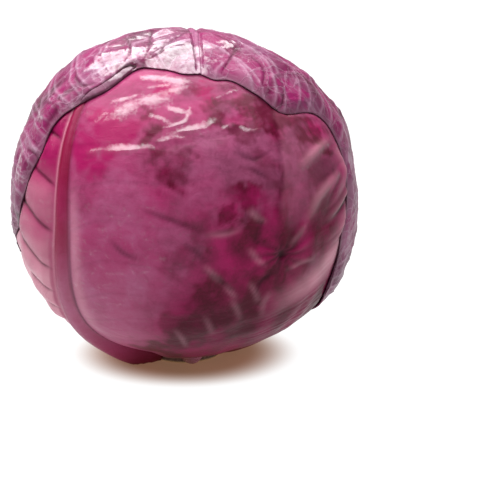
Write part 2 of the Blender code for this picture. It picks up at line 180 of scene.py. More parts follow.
def smooth_path(keys, shares):
    """Points at shares of the length of a smooth curve through the keys."""
    keys = np.asarray(keys, float)
    ends = np.vstack([2 * keys[0] - keys[1], keys, 2 * keys[-1] - keys[-2]])
    fine = np.linspace(0.0, 1.0, 9)[:-1, None]
    runs = []
    for before, start, end, after in zip(ends, ends[1:], ends[2:], ends[3:]):
        slope_in, slope_out = (end - before) / 2, (after - start) / 2
        bend = 3 * (end - start) - 2 * slope_in - slope_out
        twist = 2 * (start - end) + slope_in + slope_out
        runs.append(start + fine * slope_in + fine**2 * bend + fine**3 * twist)
    curve = np.vstack(runs + [keys[-1:]])
    steps = np.linalg.norm(np.diff(curve, axis=0), axis=1)
    length = np.concatenate([[0.0], np.cumsum(steps)])
    at = np.asarray(shares) * length[-1]
    return np.stack([np.interp(at, length, curve[:, 0]), np.interp(at, length, curve[:, 1])], -1)


def nearest_on(points, path):
    """Distance from each point to a path, and the share of the path where it is nearest."""
    start, edge = path[:-1], np.diff(path, axis=0)
    offset = points[..., None, :] - start
    along = np.clip((offset * edge).sum(-1) / np.maximum((edge**2).sum(-1), 1e-18), 0.0, 1.0)
    away = np.linalg.norm(offset - along[..., None] * edge, axis=-1)
    best = away.argmin(-1)
    share = (best + np.take_along_axis(along, best[..., None], -1)[..., 0]) / len(edge)
    return away.min(-1), share


def depth_inside(points, outline):
    """How far each point lies inside a closed outline, and less than zero outside it."""
    closed = np.vstack([outline, outline[:1]])
    away, _ = nearest_on(points, closed)
    a, b = closed[:-1], closed[1:]
    y = points[..., None, 1]
    rise = np.where(np.abs(b[:, 1] - a[:, 1]) < 1e-12, 1e-12, b[:, 1] - a[:, 1])
    cross_x = a[:, 0] + (y - a[:, 1]) / rise * (b[:, 0] - a[:, 0])
    hits = ((a[:, 1] > y) != (b[:, 1] > y)) & (points[..., None, 0] < cross_x)
    return np.where(hits.sum(-1) % 2 == 1, away, -away)


# %% [markdown]
# A wrapper leaf has a fleshy midrib that starts at the stalk, a blade that runs out to a thin
# waved margin, and side veins that leave the rib and climb to the margin. Its grid has rows that
# follow the side veins and columns that follow the rib, so both kinds of vein run along the mesh.
# The columns are closest over the rib and at the margin, where the shape changes fastest.

# %% A leaf's plan
BLADE = 0.9 * MM
GAP = 0.8 * MM
LAYER = BLADE + GAP
RISE_OVER_EDGE = 17.0 * MM
EDGE_ROOM = 5.0 * MM
RIB_RUN = 1.3
EDGE_RUN = 0.85
RIB_LATITUDES = (-45.0, 0.0, 45.0)
RIB_BEND_SHARE = 0.72
TIP_BULGE = 1.02
RIB_HALF_WIDTHS = (1.5 * MM, 5.6 * MM, 3.6 * MM)
RIB_TIP_RISE = 0.4 * MM
RIB_TAPER = 1.25
RIB_SWELL_RUN = 0.17
RIB_WIDEST_SHARE = 0.85
PRESSED_RIB = 0.35
TENT_ROOM = 3.5 * MM
TENT_FALL = 14.0 * MM
RIM_WAVES = ((0.8 * MM, 31.0, 1.0), (0.7 * MM, 57.0, 2.0))
RIM_START, RIM_RUN_IN = 0.25, 0.3
STALK_ANGLE = 12.7
PLAN_ROWS = 40
RIM_FROM = 0.9


class Grid:
    """The points of a leaf's plan, as arrays of rows by columns."""


class Leaf:
    """One wrapper leaf, drawn from the same few angles as its solid."""

    def __init__(self, name, middle, rib, tip, rib_rise, low_edge, high_edge):
        self.name, self.rise = name, rib_rise
        self.rib_foot, *self.rib_lons = rib
        self.plane = Plane(middle)
        self.tip = self.plane.flat(direction(*tip))
        self.foot = self.plane.flat(direction(self.rib_foot, -90.0 + STALK_ANGLE))
        self.edges = ((-1, low_edge), (1, high_edge))
        plan = self.lay_out(PLAN_ROWS, 3, 8, 4)
        self.rib_line = plan.flat[:, plan.flat.shape[1] // 2]
        top, left, right, base = plan.flat[-1], plan.flat[:, 0], plan.flat[:, -1], plan.flat[0]
        self.outline = np.vstack([base, right[1:], top[-2::-1], left[-2:0:-1]])

    def lay_out(self, rows, rib_columns, blade_columns, rim_columns):
        """Rows from the stalk to the tip, and columns from the low edge over the rib to the high edge."""
        t = np.linspace(0.0, 1.0, rows + 1)
        rib_keys = [self.foot] + [self.plane.flat(direction(*at)) for at in zip(self.rib_lons, RIB_LATITUDES)]
        rib_keys += [RIB_BEND_SHARE * self.tip + (1.0 - RIB_BEND_SHARE) * rib_keys[-1], self.tip]
        rib = smooth_path(rib_keys, t**RIB_RUN)
        over_rib = np.linspace(0.0, 1.0, rib_columns, endpoint=False)
        over_blade = np.linspace(0.0, RIM_FROM, blade_columns, endpoint=False)
        over_blade = np.append(over_blade, np.linspace(RIM_FROM, 1.0, rim_columns))
        halves = []
        for sign, keys in self.edges:
            edge = smooth_path(self.plane.flat(direction(*np.array(keys, float).T)), t**EDGE_RUN)
            base_lon = np.linspace(self.rib_foot, keys[0][0], 9)
            base_keys = self.plane.flat(direction(base_lon, np.full(9, -90.0 + STALK_ANGLE)))
            wave = sum(depth * np.sin(turns * t + sign * start) for depth, turns, start in RIM_WAVES)
            away = edge / np.linalg.norm(edge, axis=-1, keepdims=True)
            edge = edge + away * (wave * smoothstep((t - RIM_START) / RIM_RUN_IN))[:, None]
            edge[0] = base_keys[-1]
            reach = np.linalg.norm(edge - rib, axis=-1)
            feet = np.clip(self.rib_width(t**RIB_RUN) / reach, 0.0, RIB_WIDEST_SHARE)[:, None]
            share = np.hstack([feet * over_rib, feet + (1.0 - feet) * over_blade])
            halves.append((self.half_grid(t, rib, edge, base_keys, share), share * sign, share / feet))
        (low, low_share, low_feet), (high, high_share, high_feet) = halves
        made = Grid()
        made.t = np.broadcast_to(t[:, None], (rows + 1, low_share.shape[1] * 2 - 1))
        made.flat = np.concatenate([low[:, :0:-1], high], axis=1)
        made.share = np.concatenate([low_share[:, :0:-1], high_share], axis=1)
        made.feet = np.concatenate([low_feet[:, :0:-1], high_feet], axis=1)
        made.way = self.plane.way(made.flat)
        made.point = made.way * INNER_RADIUS
        made.row_step = np.linalg.norm(np.gradient(made.point, t, axis=0), axis=-1)
        return made

    def half_grid(self, t, rib, edge, base_keys, share):
        """One side of the leaf, between its rib, its edge, the stalk and the tip."""
        t, s = t[:, None, None], share[..., None]
        tip, foot = self.tip, self.foot
        top_curve = smooth_path([tip, 0.5 * (tip + edge[-1]) * TIP_BULGE, edge[-1]], share[-1])
        base = smooth_path(base_keys, share[0])
        base_at = np.stack([np.interp(share, share[0], base[:, k]) for k in (0, 1)], -1)
        top_at = np.stack([np.interp(share, share[-1], top_curve[:, k]) for k in (0, 1)], -1)
        across = (1 - s) * rib[:, None] + s * edge[:, None]
        along = (1 - t) * base_at + t * top_at
        corners = (1 - t) * ((1 - s) * foot + s * edge[0]) + t * ((1 - s) * tip + s * edge[-1])
        return across + along - corners

    def rib_width(self, run):
        tip, taper, swell = RIB_HALF_WIDTHS
        return tip + taper * (1.0 - run) ** RIB_TAPER + swell * np.exp(-((run / RIB_SWELL_RUN) ** 2))

    def rib_rise(self, run):
        taper, swell = self.rise
        foot = swell * np.exp(-((run / RIB_SWELL_RUN) ** 2))
        return RIB_TIP_RISE + taper * (1.0 - run) ** RIB_TAPER + foot

    def depth(self, way):
        """How far inside the leaf's margin a direction is."""
        return depth_inside(self.plane.flat(way), self.outline)

    def lift(self, way):
        """How far this leaf pushes out whatever lies over it."""
        flat = self.plane.flat(way)
        depth = depth_inside(flat, self.outline)
        sheet = LAYER * smoothstep((depth + RISE_OVER_EDGE) / (RISE_OVER_EDGE - EDGE_ROOM))
        away, row = nearest_on(flat, self.rib_line)
        run = row**RIB_RUN
        clear = away - self.rib_width(run) - TENT_ROOM
        tent = PRESSED_RIB * self.rib_rise(run) * (1.0 - smoothstep(clear / TENT_FALL))
        return sheet + tent * smoothstep((depth + RISE_OVER_EDGE) / RISE_OVER_EDGE)


LEAVES = [
    Leaf(
        "hidden_front_leaf", middle=(8, 5), rib=(8, 8, 8, 8), tip=(8, 80), rib_rise=(2.4 * MM, 5.0 * MM),
        low_edge=[(-27, -77), (-42, -60), (-58, -30), (-62, 0), (-60, 30), (-48, 55), (-25, 72)],
        high_edge=[(43, -77), (58, -60), (72, -30), (74, 0), (72, 30), (60, 55), (38, 72)],
    ),
    Leaf(
        "left_leaf", middle=(225, 8), rib=(229, 229, 229, 229), tip=(229, 83), rib_rise=(2.6 * MM, 6.0 * MM),
        low_edge=[(194, -77), (178, -60), (162, -30), (157, 0), (160, 32), (172, 58), (195, 76)],
        high_edge=[(264, -77), (282, -60), (298, -30), (302, 0), (298, 30), (288, 55), (265, 74)],
    ),
    Leaf(
        "right_leaf", middle=(98, 8), rib=(92, 92, 92, 92), tip=(96, 83), rib_rise=(2.7 * MM, 6.0 * MM),
        low_edge=[(57, -77), (46, -58), (38, -30), (34, 5), (38, 28), (48, 52), (70, 74)],
        high_edge=[(127, -77), (142, -60), (158, -30), (164, 0), (160, 32), (146, 58), (122, 76)],
    ),
    Leaf(
        "front_leaf", middle=(-18, 8), rib=(-57, -53, -43, -50), tip=(-25, 80), rib_rise=(3.0 * MM, 7.0 * MM),
        low_edge=[(-88, -77), (-100, -62), (-112, -38), (-120, -8), (-118, 22), (-108, 48), (-90, 70)],
        high_edge=[(-12, -77), (16, -66), (44, -52), (68, -34), (85, -10), (91, 14), (85, 38), (60, 62)],
    ),
    Leaf(
        "cap_leaf", middle=(186, 22), rib=(179, 179, 179, 179), tip=(12, 57.5), rib_rise=(3.0 * MM, 7.0 * MM),
        low_edge=[
            (146, -77), (127, -64), (98, -52), (76, -40), (64, -26), (65, -11),
            (69, 5), (71, 20), (70, 29), (57, 35), (44, 38), (38, 46), (27, 53),
        ],
        high_edge=[
            (222, -77), (239, -60), (258, -36), (278, -14), (294, -1), (301, 15),
            (305, 29), (308, 38), (318, 45.5), (327, 54), (335, 59.5), (350, 60.5),
        ],
    ),
]
leaf_named = {leaf.name: leaf for leaf in LEAVES}
for leaf in LEAVES:
    length = np.linalg.norm(np.diff(leaf.rib_line, axis=0), axis=1).sum()
    print(leaf.name, "is", round(length / MM), "mm long")

# %% [markdown]
# A real leaf is never even. Its unevenness is made of a few kinds of pattern, all worked out from
# the point's place on the head, so the pattern has a real size and never depends on the mesh.
# Ripples are soft swells, folds are the sharp ridges and valleys of crumpled paper, and cells are
# the meshes of the fine vein net. A noise texture could do this too, but only as a flat bump.

# %% Patterns of a real size
TRIANGLE = 2.0 / math.pi


def wave_phases(point, seed, size, count):
    """Phases of plane waves in random directions, with a wavelength of about size."""
    draw = np.random.default_rng(seed)
    ways = draw.normal(size=(count, 3))
    ways /= np.linalg.norm(ways, axis=1, keepdims=True)
    lengths = size * draw.uniform(0.75, 1.35, count)
    starts = draw.uniform(0.0, 2 * math.pi, count)
    return [2 * math.pi * (point @ way) / length + start for way, length, start in zip(ways, lengths, starts)]


def ripple(point, seed, size):
    """A soft swell between about -1 and 1."""
    return sum(np.sin(phase) for phase in wave_phases(point, seed, size, 6)) / math.sqrt(6 / 2) * 0.7


def folds(point, seed, size, bend=1.1):
    """Crumpled folds between 0 and 1, with straight slopes, sharp ridges and sharp valleys."""
    bent = bend * ripple(point, seed + 1, 1.3 * size)
    phases = wave_phases(point, seed, size, 4)
    return sum(np.abs(TRIANGLE * np.arcsin(np.sin(phase + bent))) for phase in phases) / len(phases)


def cells(point, seed, size):
    """Jittered cells of about size: the distance to the nearest border, the cell, and all seeds."""
    draw = np.random.default_rng(seed)
    count = int(4 * math.pi * (INNER_RADIUS / size) ** 2)
    height = 1.0 - (2.0 * np.arange(count) + 1.0) / count
    turn = np.arange(count) * math.pi * (3.0 - math.sqrt(5.0))
    ring = np.sqrt(1.0 - height**2)
    seeds = np.stack([ring * np.cos(turn), ring * np.sin(turn), height], -1) * INNER_RADIUS
    seeds += draw.normal(size=seeds.shape) * 0.3 * size
    tree = KDTree(count)
    for i, seed_point in enumerate(seeds):
        tree.insert(seed_point, i)
    tree.balance()
    warp = np.stack([ripple(point, seed + k, 1.6 * size) for k in (2, 3, 4)], -1) * 0.22 * size
    flat = (point + warp).reshape(-1, 3)
    border, cell = np.empty(len(flat)), np.empty(len(flat), int)
    for i, at in enumerate(flat):
        (_, first, near), (_, _, far) = tree.find_n(at, 2)
        border[i], cell[i] = (far - near) / 2, first
    return border.reshape(point.shape[:-1]), cell.reshape(point.shape[:-1]), seeds


def ridge(away, width):
    """1 on a line and falling away beside it."""
    return np.exp(-((away / width) ** 2))


def drawn_lines(grid, leaf, lines, width):
    """How much of some listed lines is at each point (0 to 1), fading at both ends."""
    found = np.zeros_like(grid.share)
    for line in lines:
        keys = leaf.plane.flat(np.array([seen_at(*at) for at in line]))
        curve = smooth_path(keys, np.linspace(0.0, 1.0, 4 * len(line)))
        away, along = nearest_on(grid.flat, curve)
        found = np.maximum(found, ridge(away, width) * np.sin(math.pi * (0.06 + 0.88 * along)) ** 0.6)
    return found


def spots(grid, places):
    """How much of some soft round spots, each a pixel and a radius in mm, is at each point (0 to 1)."""
    found = np.zeros_like(grid.share)
    for x_px, y_px, radius in places:
        away = np.linalg.norm(grid.way - seen_at(x_px, y_px), axis=-1) * INNER_RADIUS
        warped = away + 0.5 * radius * MM * ripple(grid.point, 7, 1.5 * radius * MM)
        warped += 0.3 * radius * MM * ripple(grid.point, 8, 0.6 * radius * MM)
        found = np.maximum(found, smoothstep(1.4 - warped / (radius * MM)))
    return found


print("patterns ready")

# %% [markdown]
# Side veins leave the midrib alternately and fork before the margin. The blade puffs outwards
# between them, because it grows faster than they do. Both are read off one number: how many
# veins up the leaf a point is. Its fraction tells how far the point is from the nearest vein.

# %% Side veins and the puffed blade
SIDE_VEINS = 14
FORK_FROM = 0.42
FORK_SPREAD = 0.43
FLANK_CLIMB = 3.2
VEIN_WIDTHS = (1.3 * MM, 0.7 * MM)
ROOT_WIDTH = 0.8 * MM


def side_veins(grid, seed):
    """Adds to a grid its side veins (0 to 1), the puffs between them (0 to 1), and the lines at their roots
    that take painted shade.
    """
    side = np.abs(grid.share)
    climb = -FLANK_CLIMB * np.maximum(grid.share - 0.5, 0.0)
    wander = 0.22 * ripple(grid.point, seed, 60 * MM) + 0.12 * np.sign(grid.share) * side + climb
    place = grid.t * SIDE_VEINS + wander
    off = np.abs(place - np.round(place))
    fork = FORK_SPREAD * np.clip(side - FORK_FROM, 0.0, 1.0)
    metres = grid.row_step / SIDE_VEINS
    width = VEIN_WIDTHS[0] + (VEIN_WIDTHS[1] - VEIN_WIDTHS[0]) * side
    main = ridge((off - fork) * metres, width)
    grown = smoothstep((grid.t - 0.05) / 0.1) * smoothstep((1.0 - grid.t) / 0.04)
    grid.vein = main * grown * (1.0 - 0.35 * side)
    in_fork = (1.0 - (off / np.maximum(fork, 0.01)) ** 2) * fork / 0.25 * np.where(grid.share > 0, 0.35, 1.0)
    beside = 1.0 - ((0.5 - off) / (0.5 - fork)) ** 2
    grid.puff = np.clip(np.where(off < fork, in_fork, beside), 0.0, 1.0) * grown
    grid.root = ridge(off * metres, ROOT_WIDTH) * grown


print(SIDE_VEINS, "side veins on each side of a rib")

# %% [markdown]
# The margin of a wrapper leaf dries first. It turns greyish, gets thin, and clings to the leaf
# below, which leaves only a fine dark line of shadow. The depth inside the outline says where the
# margin is, and the last few millimetres of blade are drawn in towards the leaf that they lie on.

# %% The clinging margin
CLING_BAND = 6 * MM
CLING = 0.45 * MM
RELIEF_AT_MARGIN = 0.15
DRY_BAND = 4.5 * MM


def margin(grid, leaf):
    """Adds the distance from the margin, how much relief it leaves, and how dry it is."""
    grid.inside = np.maximum(leaf.depth(grid.way), 0.0)
    free = smoothstep((grid.t - RIM_START) / RIM_RUN_IN)
    near = smoothstep(1.0 - grid.inside / CLING_BAND) * free
    grid.settled = 1.0 - (1.0 - RELIEF_AT_MARGIN) * near
    grid.cling = -CLING * near
    grid.dry = smoothstep(1.0 - grid.inside / DRY_BAND) * free


print("a margin clings over", CLING_BAND / MM, "mm and is dry over", DRY_BAND / MM, "mm")

# %% [markdown]
# The cap leaf is the oldest one. It has lost its stiffness and lies in crumpled facets, like
# paper that was pressed over a ball, with the paler vein net standing on it. Near the front of
# its left side the margin is rolled outwards into a narrow lip, with a dark slit behind it.
# Noise alone would put its creases and its shiny, pale and vivid patches anywhere, so they are
# listed by the pixels of the photograph, and only their ragged edges come from a pattern.

# %% Relief of the cap leaf
CAP_FOLD = 2.6 * MM
PANEL_SIZE, PANEL_PUFF, PANEL_TILT = 23 * MM, 0.9 * MM, 1.8 * MM
CELL_SIZE, CELL_PUFF = 9 * MM, 0.30 * MM
NET_RISE = 0.25 * MM
LIP_ENDS = seen_at(79, 107), seen_at(135, 74)
LIP_WIDTH = 4.6 * MM
LIP_RISE = 0.5 * MM
SLIT_DEPTH = 0.6 * MM
MARGIN_END = seen_at(20, 218)
LEAST_DULL = 0.2
CAP_CREASES = (
    ((148, 59), (172, 42), (196, 31)), ((236, 50), (229, 62), (222, 73)), ((76, 73), (83, 87), (96, 84)),
    ((51, 106), (61, 111), (49, 130)), ((143, 66), (148, 50), (153, 31)), ((250, 62), (262, 76), (258, 92)),
    ((275, 78), (281, 96), (278, 112)), ((128, 40), (131, 54), (124, 66)), ((166, 42), (160, 54), (144, 62)),
    ((30, 150), (40, 158), (34, 176)), ((198, 30), (216, 40), (236, 50)),
)
CAP_CREASE_WIDTH = 1.0 * MM
CAP_SHINY = (
    (113, 66, 8), (128, 54, 12), (150, 46, 13), (170, 56, 13), (181, 60, 10), (178, 34, 7),
    (24, 168, 5), (47, 118, 4), (228, 48, 4),
)
# Pale spots along the cap's right edge: a painted rim light on its greyish dry strip.
CAP_PALE = ((350, 192, 10), (346, 150, 7), (345, 236, 8), (338, 126, 5))
CAP_VIVID = ((60, 105, 7), (92, 62, 9), (41, 132, 5), (240, 72, 8), (290, 95, 6), (72, 84, 6))


def panels(point, seed, size, puff, tilt):
    """A blade broken into puffed and tilted panels: their height, and how near their borders are."""
    border, value, seeds = cells(point, seed, size)
    draw = np.random.default_rng(seed + 9)
    lean = draw.normal(size=(len(seeds), 3))
    lean /= np.linalg.norm(lean, axis=1, keepdims=True)
    rise = draw.uniform(-0.35, 1.0, len(seeds))
    offset = (point - seeds[value]) / size
    dome = smoothstep(border / (0.30 * size))
    return dome * (puff * rise[value] + tilt * (offset * lean[value]).sum(-1)), border, rise[value]


def lip_of(grid):
    """The rolled lip of the margin (0 to 1), and the dark slit behind it."""
    edge = grid.way[:, -1]
    start, end = (grid.t[np.argmax(edge @ way), 0] for way in LIP_ENDS)
    along = np.clip((grid.t - start) / (end - start), 0.0, 1.0)
    width = LIP_WIDTH * np.sin(math.pi * along) ** 0.7 * (grid.share > 0) + 1e-6
    lip = np.sqrt(np.clip(1.0 - ((grid.inside - 0.5 * width) / (0.5 * width)) ** 2, 0.0, 1.0))
    slit = ridge(grid.inside - width - 0.3 * MM, 0.6 * MM) * smoothstep(width / (0.3 * LIP_WIDTH))
    return lip * smoothstep(width / (0.5 * LIP_WIDTH)), slit


def cap_relief(grid):
    """Height of the cap leaf's relief, with its colour masks."""
    leaf = leaf_named["cap_leaf"]
    open_blade = smoothstep((grid.t - 0.12) / 0.25) * smoothstep((grid.feet - 1.0) / 1.5)
    large = folds(grid.point, 11, 58 * MM)
    panel, panel_border, lean = panels(grid.point, 31, PANEL_SIZE, PANEL_PUFF, PANEL_TILT)
    cell, cell_border, value = panels(grid.point, 41, CELL_SIZE, CELL_PUFF, 0.0)
    net = np.maximum(ridge(panel_border, 0.8 * MM), 0.5 * ridge(cell_border, 0.6 * MM))
    lip, slit = lip_of(grid)
    shiny = spots(grid, CAP_SHINY)
    drawn = drawn_lines(grid, leaf, CAP_CREASES, CAP_CREASE_WIDTH)
    height = CAP_FOLD * (large - 0.3) + panel + cell + NET_RISE * net
    height = height * open_blade + 0.5 * MM * grid.vein * open_blade - 0.5 * MM * drawn
    height = np.maximum(height * grid.settled, 0.0) + grid.cling * (1.0 - lip)
    height += LIP_RISE * lip - SLIT_DEPTH * slit
    valley = smoothstep((0.30 - large) / 0.14) * open_blade
    end_drop = ridge(np.linalg.norm(grid.way - MARGIN_END, axis=-1) * INNER_RADIUS, 2.2 * MM)
    edge_line = ridge(grid.inside, 0.45 * MM) * smoothstep((grid.t - RIM_START) / 0.1)
    edge_line *= 0.7 + 0.3 * ripple(grid.point, 49, 16 * MM)
    patchy = 0.5 - 0.5 * ripple(grid.point, 46, 40 * MM)
    blotch = smoothstep((ripple(grid.point, 45, 9 * MM) - 0.3) / 0.5) * patchy
    # Painted shade: darker in the fold valleys, in the slit behind the lip, along the margin's shadow line
    # and at its end, and in the listed creases. The blotches are darker patches of the skin.
    grid.crease = np.clip(
        0.3 * valley + slit + 0.5 * edge_line + end_drop + 0.3 * blotch * (1.0 - shiny) + 0.5 * drawn,
        0.0, 1.0,
    )
    grid.pale = np.clip(0.7 * grid.vein + (0.1 + 0.4 * value) * net, 0.0, 1.0) * open_blade * (1.0 - drawn)
    grid.pale = np.maximum(grid.pale, 0.45 * spots(grid, CAP_PALE))
    vivid = spots(grid, CAP_VIVID)
    grid.tone = np.clip(0.45 + 0.35 * lean + 0.35 * ripple(grid.point, 47, 25 * MM) + 0.8 * vivid, 0.0, 1.0)
    grid.bloom = np.clip(0.30 + 0.35 * ripple(grid.point, 48, 30 * MM) - vivid, 0.0, 1.0)
    hidden_side = 0.25 * smoothstep((grid.way[..., 1] - 0.2) / 0.4)
    grid.dull = np.clip(0.9 - hidden_side - 0.9 * shiny + 0.2 * blotch, LEAST_DULL, 1.0)
    grid.rim = np.maximum((0.7 - 0.5 * shiny) * grid.dry, 0.8 * lip)
    return height


print("the cap leaf has", len(CAP_CREASES), "creases and", len(CAP_SHINY), "shiny spots")


# %% [markdown]
# The front leaf is younger and tighter. Left of its midrib the blade is pleated between the side
# veins. The broad right side is smooth and only swells between them, until it meets a pucker low
# on the right, where short creases run together. The edge of the leaf below shows as a soft step.
# Its fine creases and its folds that catch the lamp are single lines, so they are listed too.

# %% Relief of the front leaf
PLEAT = 1.9 * MM
SWELL = 0.5 * MM
FLANK_PLEAT = 1.4 * MM
FRONT_FOLD = 0.9 * MM
SHINE_FOLDS = (
    (3.8 * MM, 0.85, (((104, 116), (125, 109), (150, 99), (172, 92), (184, 87)),)),
    (2.3 * MM, 0.95, (
        ((138, 76), (160, 77), (182, 80), (194, 80)), ((157, 142), (175, 136), (195, 129), (215, 120)),
        ((87, 153), (108, 150), (130, 149), (153, 147)),
    )),
    (1.1 * MM, 0.8, (
        ((146, 113), (162, 118), (176, 127)), ((163, 127), (184, 121), (190, 108)), ((168, 107), (184, 112)),
        ((108, 102), (126, 97), (146, 90)), ((132, 88), (152, 86), (170, 84)),
        ((213, 98), (226, 93), (239, 88)), ((240, 125), (250, 131), (262, 130)), ((222, 128), (236, 123)),
    )),
)
SHINE_RISE = 0.35 * MM
CREASES = (
    ((144, 211), (178, 223), (200, 231)), ((111, 243), (122, 254), (135, 260)),
    ((238, 151), (253, 159), (266, 154)), ((251, 168), (266, 178)), ((208, 235), (225, 232), (240, 229)),
    ((254, 212), (260, 222), (257, 243)), ((290, 246), (296, 238), (301, 229)),
    ((205, 272), (222, 282), (238, 296)), ((281, 256), (274, 271), (260, 285), (257, 307)),
    ((325, 203), (330, 190), (336, 176)), ((334, 214), (340, 206), (345, 196)),
    ((186, 246), (198, 254), (204, 262)),
)
CREASE_WIDTH, CREASE_DEPTH = 1.3 * MM, 0.40 * MM
RIDGES = (
    ((308, 215), (316, 196), (332, 174)), ((327, 217), (337, 202), (345, 186)),
    ((332, 150), (338, 162), (342, 176)), ((334, 236), (341, 222), (346, 206)),
    ((300, 166), (312, 152), (324, 142)),
)
RIDGE_WIDTH, RIDGE_HEIGHT = 2.4 * MM, 1.3 * MM
# A painted rim light: a pale band along the far right edge of the front leaf.
FAR_BAND = (((347, 212), (340, 238), (325, 265), (304, 286), (284, 300)),)
FAR_BAND_WIDTH = 7.5 * MM
PUCKER = seen_at(282, 254)
PUCKER_DEPTH = 1.3 * MM
SHADE_RADIUS = 46 * MM
PUCKER_RADIUS = 3.5 * MM
RAYS = 11
RAY_HEIGHT = 0.9 * MM
RAY_REACH = 20 * MM
STEP_HEIGHT, STEP_WIDTH = 0.6 * MM, 1.6 * MM
WHISKERS = (
    ((206, 268), (213, 275), (221, 282)), ((251, 211), (257, 217), (264, 221)),
    ((209, 235), (224, 234), (238, 231)), ((251, 251), (257, 259), (264, 265)),
    ((251, 285), (256, 293), (258, 302)), ((232, 300), (237, 310), (240, 319)),
    ((205, 318), (209, 325), (212, 333)), ((268, 292), (263, 303), (261, 314)),
    ((288, 268), (298, 262), (312, 258)), ((290, 243), (297, 235), (303, 226)),
    ((176, 330), (182, 338), (186, 346)), ((226, 286), (232, 294), (236, 299)),
)
WHISKER_WIDTH, WHISKER_HEIGHT = 1.4 * MM, 0.6 * MM
VIVID = (
    (83, 150, 9), (112, 134, 11), (204, 89, 4), (300, 252, 9), (246, 199, 6), (98, 120, 7), (58, 128, 6),
    (322, 218, 6), (165, 86, 4), (310, 128, 4),
)
DUSTY = (
    (215, 152, 13), (265, 142, 5), (236, 172, 14), (290, 168, 9), (72, 225, 5), (80, 285, 10),
    (300, 204, 9), (130, 230, 16), (110, 190, 10), (258, 178, 10), (180, 240, 10), (150, 280, 12),
    (292, 138, 5), (232, 108, 4), (212, 200, 10), (308, 262, 6),
)
# Dark spots: those low on the right and by the base are painted shade, the others are darker patches of the
# skin.
DARK = (
    (168, 170, 9), (182, 156, 5), (256, 122, 7), (316, 138, 6), (228, 218, 4), (256, 230, 4), (150, 350, 9),
    (200, 330, 13), (250, 296, 14), (222, 300, 10), (280, 118, 9), (246, 104, 6), (150, 124, 6),
    (214, 112, 6), (262, 106, 6), (298, 128, 6), (271, 125, 6), (241, 131, 5),
)


def front_places(grid):
    """Adds to the grid where the front leaf's sides, pucker, step and listed lines are."""
    leaf = leaf_named["front_leaf"]
    grid.left = grid.share < 0
    grid.up = grid.way[..., 2]
    grid.open_blade = smoothstep((grid.t - 0.1) / 0.15) * smoothstep((grid.feet - 1.0) / 1.5)
    grid.flank = smoothstep((grid.share - 0.6) / 0.2)
    grid.upper = smoothstep((grid.up - 0.15) / 0.2) * smoothstep(grid.share / 0.08)
    strength = np.clip(0.3 + 0.8 * ripple(grid.point, 74, 45 * MM), 0.0, 0.8)
    grid.strength = strength * smoothstep((grid.up + 0.35) / 0.3)
    offset = grid.flat - leaf.plane.flat(PUCKER)
    grid.reach = np.linalg.norm(offset, axis=-1)
    angle = np.arctan2(offset[..., 1], offset[..., 0])
    bent = RAYS * angle + 1.8 * ripple(grid.point, 51, 26 * MM)
    grid.rays = np.abs(TRIANGLE * np.arcsin(np.sin(0.5 * bent)))
    grid.ray_share = np.exp(-grid.reach / RAY_REACH) * smoothstep(grid.reach / (1.5 * PUCKER_RADIUS))
    grid.pucker = ridge(grid.reach, PUCKER_RADIUS)
    grid.below = leaf_named["right_leaf"].depth(grid.way)
    grid.step_shown = smoothstep((grid.up + 0.05) / 0.25) * smoothstep((0.75 - grid.up) / 0.2)
    grid.step = smoothstep(grid.below / STEP_WIDTH) * grid.step_shown
    grid.ridges = drawn_lines(grid, leaf, RIDGES, RIDGE_WIDTH)
    grid.whiskers = drawn_lines(grid, leaf, WHISKERS, WHISKER_WIDTH)
    grid.far_band = drawn_lines(grid, leaf, FAR_BAND, FAR_BAND_WIDTH)
    grid.drawn = drawn_lines(grid, leaf, CREASES, CREASE_WIDTH)
    shine = [drawn_lines(grid, leaf, lines, width) * share for width, share, lines in SHINE_FOLDS]
    grid.shine = np.maximum.reduce(shine) * (0.85 + 0.35 * ripple(grid.point, 76, 8 * MM))


def front_relief(grid):
    """Height of the front leaf's relief, with its colour masks."""
    front_places(grid)
    crumpled = folds(grid.point, 61, 34 * MM)
    small = folds(grid.point, 63, 13 * MM, 1.6)
    pleat = np.where(grid.left, PLEAT, SWELL + (FLANK_PLEAT * grid.strength - SWELL) * grid.flank)
    height = (pleat * grid.puff + 0.25 * MM * grid.vein * ~grid.left) * grid.open_blade
    crumpled = FRONT_FOLD * crumpled * (0.25 + grid.flank)
    height += (crumpled + 0.45 * MM * small * grid.upper) * grid.open_blade
    height += SHINE_RISE * grid.shine - PUCKER_DEPTH * grid.pucker + RAY_HEIGHT * grid.rays * grid.ray_share
    height += STEP_HEIGHT * grid.step + WHISKER_HEIGHT * grid.whiskers
    height += RIDGE_HEIGHT * grid.ridges - CREASE_DEPTH * grid.drawn
    front_creases(grid)
    front_paleness(grid)
    front_tone(grid)
    grid.rim = grid.dry
    return height * grid.settled + grid.cling


print("the front leaf's pucker is", round(float(PUCKER[2] * INNER_RADIUS / MM)), "mm above the centre")

# %% [markdown]
# The front leaf's colours come in masks, each from 0 to 1: how much painted shade lies in a crease or a
# recess, how pale a vein or a puff is and where painted highlights and rim light go, how much dye the
# flesh has, and how much of the powdery bloom, with a painted sheen low in the middle, and of the shiny
# wax is left.
# Painting them would need an image, so they are sums of the same places that its relief uses.

